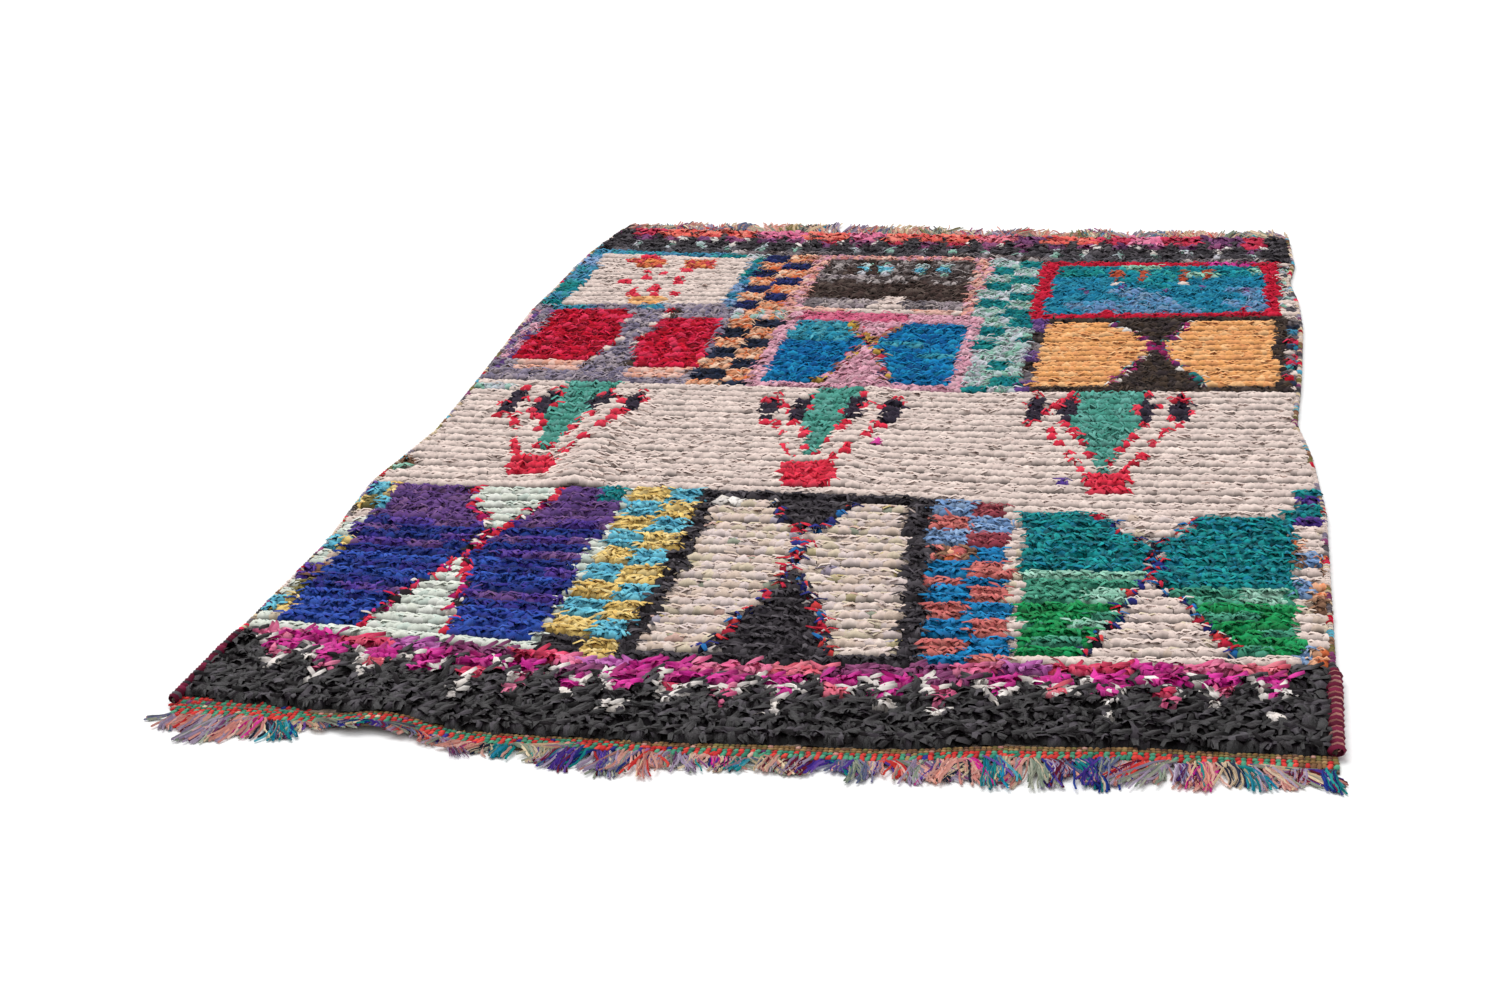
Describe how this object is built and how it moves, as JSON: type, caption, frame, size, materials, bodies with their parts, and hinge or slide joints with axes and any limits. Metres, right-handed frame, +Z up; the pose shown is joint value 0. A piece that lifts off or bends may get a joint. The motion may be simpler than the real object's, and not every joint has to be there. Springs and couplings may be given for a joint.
{
  "type": "boucherouite rug",
  "caption": "Flat knotted rag rug with a shaggy pile in bands of hourglass panels, checks and toothed borders, twined ends, overcast sides and a yarn fringe.",
  "frame": {"origin": "middle of the outline on the floor", "axes": "+Z up out of the pile, +Y along the rug away from its toothed black near border, +X to the right seen from the near end"},
  "size_m": [1.3817, 2.9386, 0.027],
  "materials": {
    "rag_pile": "knotted strips of cotton and jersey rag in many colours, matt, with a little satin in the dark ones",
    "twined_band": "flat wool weave, red and green checks on tan",
    "overcast_cord": "wool yarn wrapped over the edge warps, maroon and tan",
    "warp_fringe": "thin mixed yarns in loose bundles, matt"
  },
  "bodies": {
    "root": {"rug_field": "rag_pile", "end_band_near": "twined_band", "end_band_far": "twined_band", "side_cord_left": "overcast_cord", "side_cord_right": "overcast_cord", "fringe_near": "warp_fringe", "fringe_far": "warp_fringe"}
  },
  "joints": []
}
